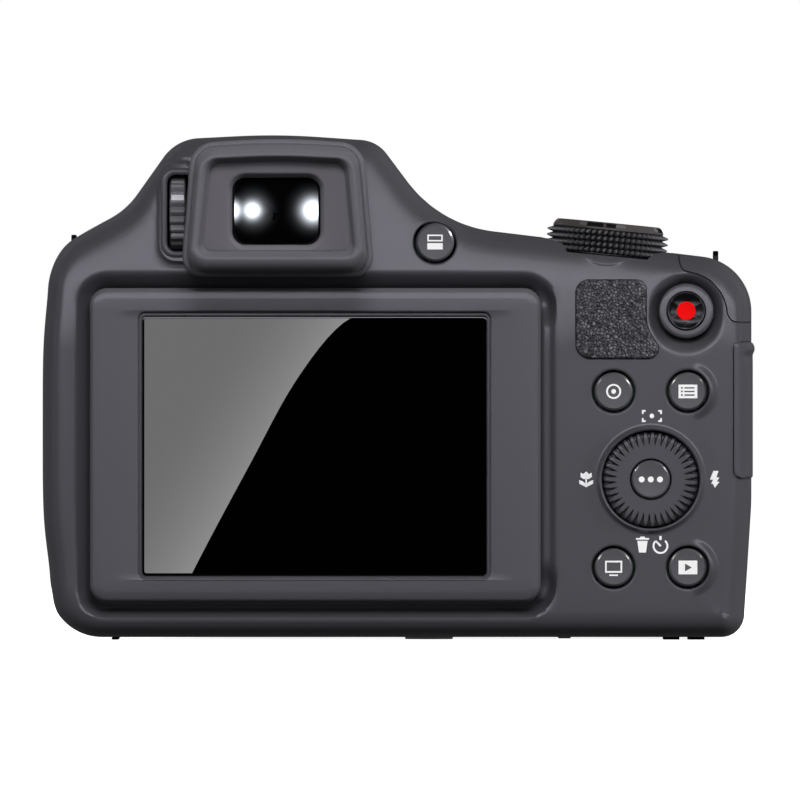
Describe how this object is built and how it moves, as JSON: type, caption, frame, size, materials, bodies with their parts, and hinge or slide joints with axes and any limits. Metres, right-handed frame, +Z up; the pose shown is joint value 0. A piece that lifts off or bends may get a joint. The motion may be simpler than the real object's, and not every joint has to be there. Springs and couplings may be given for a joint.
{
  "type": "bridge camera",
  "caption": "Bridge camera with a collapsing zoom lens, electronic viewfinder in a hump, fixed rear screen, pop-up flash, mode dial, four-way ring, grip and tripod socket.",
  "frame": {"origin": "middle of the tripod socket's mouth, on the plane the camera stands on", "axes": "+X to the user's right along the body's width, +Y along the lens towards the subject, +Z up"},
  "size_m": [0.1248, 0.1148, 0.0884],
  "materials": {
    "shell_plastic": "fine moulded grain",
    "trim_plastic": "fine moulded grain",
    "key_plastic": "smooth satin",
    "dial_plastic": "moulded knurl, semi-gloss",
    "soft_rubber": "matt",
    "grip_skin": "leather grain",
    "black_plastic": "matt",
    "cover_glass": "polished",
    "lens_glass": "coated",
    "panel": "dark panel",
    "flash_plastic": "clear ribbed",
    "steel": "bright",
    "bush_metal": "nickel plated",
    "board": "solder mask",
    "battery_case": "moulded",
    "card_case": "moulded",
    "record_plastic": "gloss dish"
  },
  "bodies": {
    "camera_body": {"rear_cover": "shell_plastic", "front_cover": "shell_plastic", "top_cover": "shell_plastic", "control_deck": "shell_plastic", "grip_shell": "shell_plastic", "grip_rubber": "grip_skin", "shoulder_trim": "trim_plastic", "thumb_pad": "grip_skin", "screen_bezel": "trim_plastic", "screen_window": "cover_glass", "screen_module": "panel", "eyecup": "soft_rubber", "eyepiece_frame": "trim_plastic", "eyepiece_lens": "lens_glass", "evf_housing": "black_plastic", "evf_display": "panel", "strap_lugs": "steel", "tripod_bush": "bush_metal", "feet": "soft_rubber", "case_screws": "steel", "chassis": "steel", "main_board": "board", "key_board": "board", "battery_bay": "black_plastic", "battery": "battery_case", "memory_card": "card_case", "battery_door_pin": "steel", "port_sockets": "steel", "lens_housing": "black_plastic", "lens_fixed_barrel": "black_plastic", "lens_grip_ring": "soft_rubber", "rear_element": "lens_glass", "image_sensor": "board", "zoom_motor": "steel", "flash_hinge_pin": "steel", "dial_base": "black_plastic"},
    "dial": {"mode_dial": "dial_plastic", "mode_dial_cap": "trim_plastic"},
    "dioptre": {"dioptre_wheel": "dial_plastic"},
    "shutter": {"shutter_button": "key_plastic"},
    "zoom": {"zoom_lever": "key_plastic"},
    "power": {"power_button": "key_plastic"},
    "record": {"record_button": "record_plastic"},
    "info": {"info_button": "key_plastic"},
    "menu": {"menu_button": "key_plastic"},
    "display": {"display_button": "key_plastic"},
    "playback": {"playback_button": "key_plastic"},
    "evf_key": {"evf_button": "key_plastic"},
    "set": {"set_button": "key_plastic"},
    "nav_carrier": {"nav_pad": "black_plastic"},
    "nav": {"nav_ring": "key_plastic"},
    "door": {"battery_door": "shell_plastic"},
    "latch": {"battery_latch": "black_plastic"},
    "port_flap": {"port_cover": "soft_rubber"},
    "flash": {"flash_head": "shell_plastic", "flash_window": "flash_plastic"},
    "lens_middle": {"lens_middle_barrel": "black_plastic"},
    "lens_front": {"lens_front_barrel": "black_plastic", "front_element": "lens_glass"}
  },
  "joints": [
    {"name": "record_press", "type": "slide", "parent": "camera_body", "child": "record", "axis": [0, 1, 0], "range_m": [0, 0.0005], "stiffness_N_per_m": 1500},
    {"name": "info_press", "type": "slide", "parent": "camera_body", "child": "info", "axis": [0, 1, 0], "range_m": [0, 0.0005], "stiffness_N_per_m": 1500},
    {"name": "menu_press", "type": "slide", "parent": "camera_body", "child": "menu", "axis": [0, 1, 0], "range_m": [0, 0.0005], "stiffness_N_per_m": 1500},
    {"name": "display_press", "type": "slide", "parent": "camera_body", "child": "display", "axis": [0, 1, 0], "range_m": [0, 0.0005], "stiffness_N_per_m": 1500},
    {"name": "playback_press", "type": "slide", "parent": "camera_body", "child": "playback", "axis": [0, 1, 0], "range_m": [0, 0.0005], "stiffness_N_per_m": 1500},
    {"name": "evf_press", "type": "slide", "parent": "camera_body", "child": "evf_key", "axis": [0, 1, 0], "range_m": [0, 0.0005], "stiffness_N_per_m": 1500},
    {"name": "set_press", "type": "slide", "parent": "camera_body", "child": "set", "axis": [0, 1, 0], "range_m": [0, 0.0005], "stiffness_N_per_m": 1500},
    {"name": "nav_rock_up_down", "type": "hinge", "parent": "camera_body", "child": "nav_carrier", "pos_m": [0.0388, -0.0205, 0.0281], "axis": [1, 0, 0], "range_deg": [-2, 2], "stiffness_Nm_per_rad": 0.4},
    {"name": "nav_rock_left_right", "type": "hinge", "parent": "nav_carrier", "child": "nav", "pos_m": [0.0388, -0.0216, 0.0281], "axis": [0, 0, 1], "range_deg": [-2, 2], "stiffness_Nm_per_rad": 0.4},
    {"name": "mode_dial_turn", "type": "hinge", "parent": "camera_body", "child": "dial", "pos_m": [0.031, -0.0095, 0.06715], "axis": [0.0958, 0, 0.9954], "continuous": true},
    {"name": "dioptre_turn", "type": "hinge", "parent": "camera_body", "child": "dioptre", "pos_m": [-0.04445, -0.018, 0.075], "axis": [1, 0, 0], "range_deg": [-60, 60]},
    {"name": "shutter_press", "type": "slide", "parent": "camera_body", "child": "shutter", "axis": [-0.1035, -0.1392, -0.9848], "range_m": [0, 0.001], "stiffness_N_per_m": 1200},
    {"name": "zoom_turn", "type": "hinge", "parent": "camera_body", "child": "zoom", "pos_m": [0.042, 0.035, 0.06408], "axis": [0.1035, 0.1392, 0.9848], "range_deg": [-20, 20], "stiffness_Nm_per_rad": 0.03},
    {"name": "power_press", "type": "slide", "parent": "camera_body", "child": "power", "axis": [0, 0, -1], "range_m": [0, 0.0005], "stiffness_N_per_m": 1500},
    {"name": "battery_door_swing", "type": "hinge", "parent": "camera_body", "child": "door", "pos_m": [0.0273, 0.0215, 0.00145], "axis": [0, 1, 0], "range_deg": [0, 100]},
    {"name": "battery_latch_slide", "type": "slide", "parent": "door", "child": "latch", "axis": [0, 1, 0], "range_m": [0, 0.003]},
    {"name": "port_cover_swing", "type": "hinge", "parent": "camera_body", "child": "port_flap", "pos_m": [0.0563, -0.01, 0.04025], "axis": [0, 0, 1], "range_deg": [0, 90]},
    {"name": "flash_lift", "type": "hinge", "parent": "camera_body", "child": "flash", "pos_m": [-0.0266, 0.0022, 0.0859], "axis": [1, 0, 0], "range_deg": [0, 65]},
    {"name": "lens_middle_slide", "type": "slide", "parent": "camera_body", "child": "lens_middle", "axis": [0, 1, 0], "range_m": [0, 0.028]},
    {"name": "lens_front_slide", "type": "slide", "parent": "lens_middle", "child": "lens_front", "axis": [0, 1, 0], "range_m": [0, 0.026]}
  ],
  "couplings": [
    {"joint": "lens_front_slide", "follows": "lens_middle_slide", "ratio": 0.92857}
  ]
}
